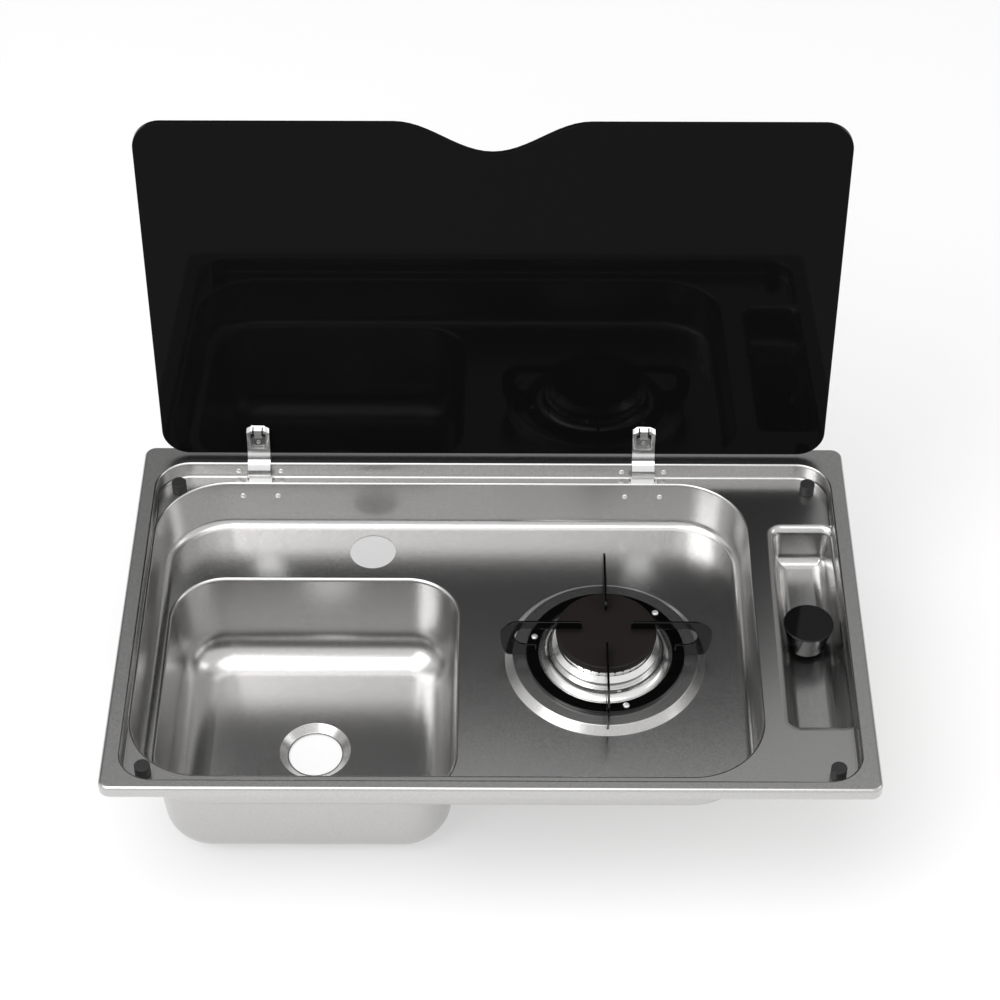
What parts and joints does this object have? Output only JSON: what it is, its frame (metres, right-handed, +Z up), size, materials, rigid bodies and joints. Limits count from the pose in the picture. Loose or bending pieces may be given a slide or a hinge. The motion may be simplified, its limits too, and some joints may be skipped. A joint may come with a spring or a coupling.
{
  "type": "hob and sink combination",
  "caption": "Inset steel hob and sink combination with a deep bowl, tap hole, gas burner, pan support, control knob tray and hinged black glass lid.",
  "frame": {"origin": "centre of the plane where the rim's skirt and seal meet the worktop", "axes": "+X to the right along the long side, +Y from the front to the hinges at the back, +Z up"},
  "size_m": [0.6, 0.3986, 0.4839],
  "materials": {
    "pressed_steel": "satin pressed stainless steel",
    "seal_foam": "closed-cell foam strip",
    "black_rubber": "smooth black rubber",
    "cast_aluminium": "machined cast aluminium",
    "cap_enamel": "dark matt enamel",
    "plated_screws": "bright plated screws",
    "brass": "machined brass",
    "support_enamel": "gloss black enamel",
    "plated_steel": "zinc plated steel",
    "black_gloss_plastic": "gloss black moulded plastic",
    "copper": "drawn copper pipe",
    "chrome": "polished chrome",
    "clamp_steel": "satin pressure plate",
    "black_glass": "black toughened glass"
  },
  "bodies": {
    "deck": {"deck_pressing": "pressed_steel", "sink_bowl": "pressed_steel", "worktop_seal": "seal_foam", "bumper_front_left": "black_rubber", "bumper_front_right": "black_rubber", "bumper_back_left": "black_rubber", "bumper_back_right": "black_rubber", "burner_base": "cast_aluminium", "burner_head": "cast_aluminium", "burner_cap": "cap_enamel", "burner_screws": "plated_screws", "injector": "brass", "pan_support_ring": "support_enamel", "pan_arm_right": "support_enamel", "pan_arm_back": "support_enamel", "pan_arm_left": "support_enamel", "pan_arm_front": "support_enamel", "pan_support_screws": "plated_screws", "tap_body": "brass", "tap_bracket": "plated_steel", "tap_bracket_screws": "plated_screws", "tap_cover": "plated_steel", "feed_pipe": "copper", "inlet_pipe": "copper", "pipe_nuts": "brass", "hinge_bracket_left": "chrome", "hinge_bracket_right": "chrome", "hinge_pin_left": "chrome", "hinge_pin_right": "chrome", "hinge_screws": "plated_screws"},
    "sleeve": {"thrust_sleeve": "plated_steel"},
    "control": {"knob": "black_gloss_plastic", "spindle": "plated_steel"},
    "lid": {"hinge_arm_left": "chrome", "hinge_arm_right": "chrome", "clamp_plate_left": "clamp_steel", "clamp_plate_right": "clamp_steel", "clamp_pads_left": "black_rubber", "clamp_pads_right": "black_rubber", "clamp_screws": "plated_screws", "lid_glass": "black_glass"}
  },
  "joints": [
    {"name": "lid_hinge", "type": "hinge", "parent": "deck", "child": "lid", "pos_m": [0, 0.1715, 0.002], "axis": [1, 0, 0], "range_deg": [0, 95.5]},
    {"name": "knob_push", "type": "slide", "parent": "deck", "child": "sleeve", "axis": [0, 0, 1], "range_m": [-0.0024, 0], "stiffness_N_per_m": 1500, "springref_m": 0.004},
    {"name": "knob_turn", "type": "hinge", "parent": "sleeve", "child": "control", "pos_m": [0.259, 0.003, -0.0375], "axis": [0, 0, 1], "range_deg": [0, 210]}
  ]
}
